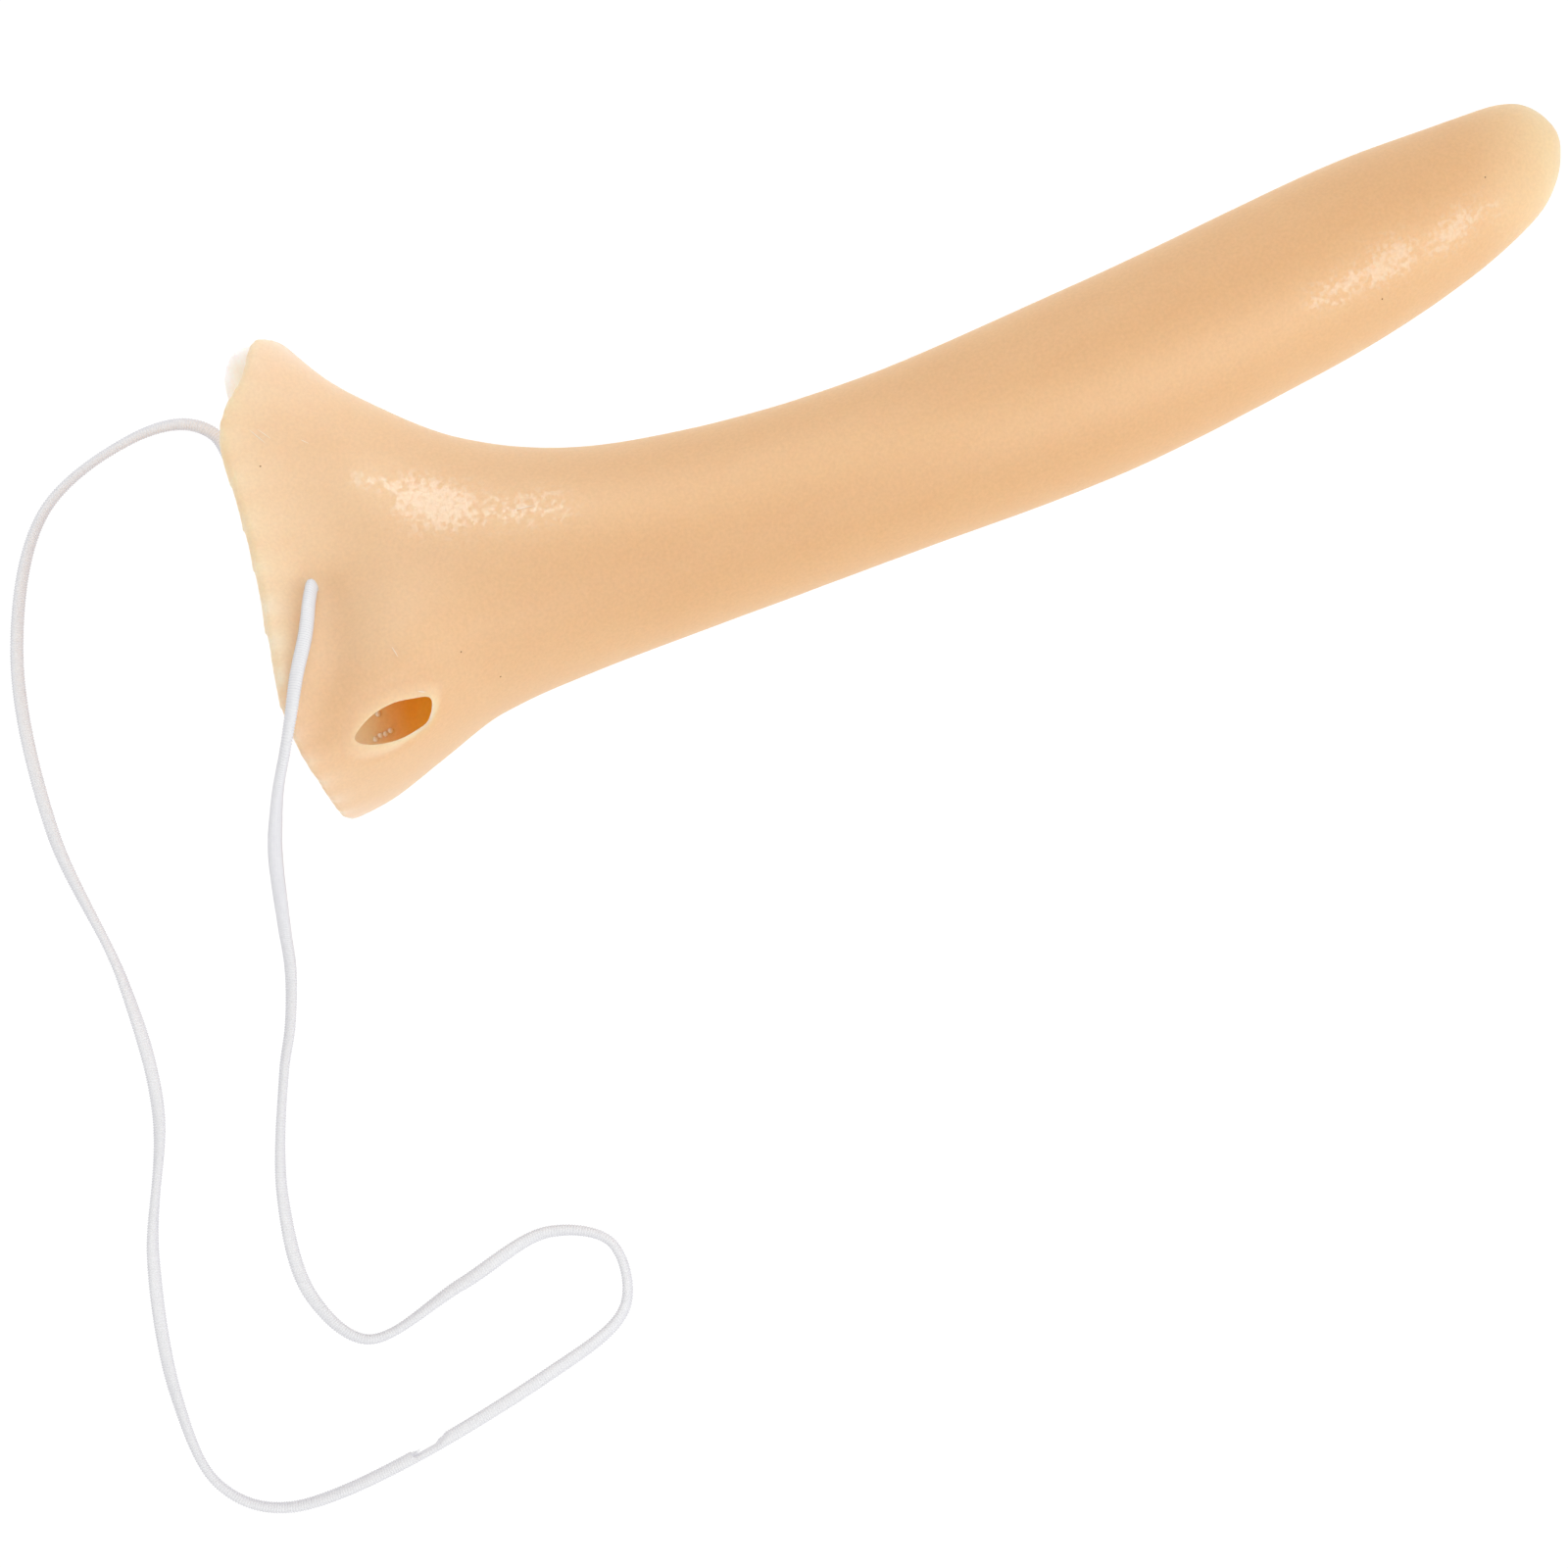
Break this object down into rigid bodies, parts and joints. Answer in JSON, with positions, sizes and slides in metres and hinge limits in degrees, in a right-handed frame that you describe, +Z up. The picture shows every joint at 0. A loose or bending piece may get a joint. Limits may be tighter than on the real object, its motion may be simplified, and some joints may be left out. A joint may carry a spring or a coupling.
{
  "type": "long false nose on an elastic cord",
  "caption": "Hollow moulded long false nose with open nostrils and a trimmed flared rim, lying on its side, worn on a loose loop of round elastic cord knotted inside its flanks.",
  "frame": {"origin": "on the table, under the middle of the moulded nose's box as it lies on its side", "axes": "+X from the face to the tip, +Y up the wearer's face, +Z up from the table, towards the wearer's right"},
  "size_m": [0.2128, 0.1538, 0.0461],
  "materials": {
    "latex": "satin flesh-coloured moulded latex",
    "elastic": "matt white thread wound over elastic"
  },
  "bodies": {
    "root": {"nose_shell": "latex", "elastic_cord": "elastic", "cord_knot_right": "elastic", "cord_knot_left": "elastic"}
  },
  "joints": []
}
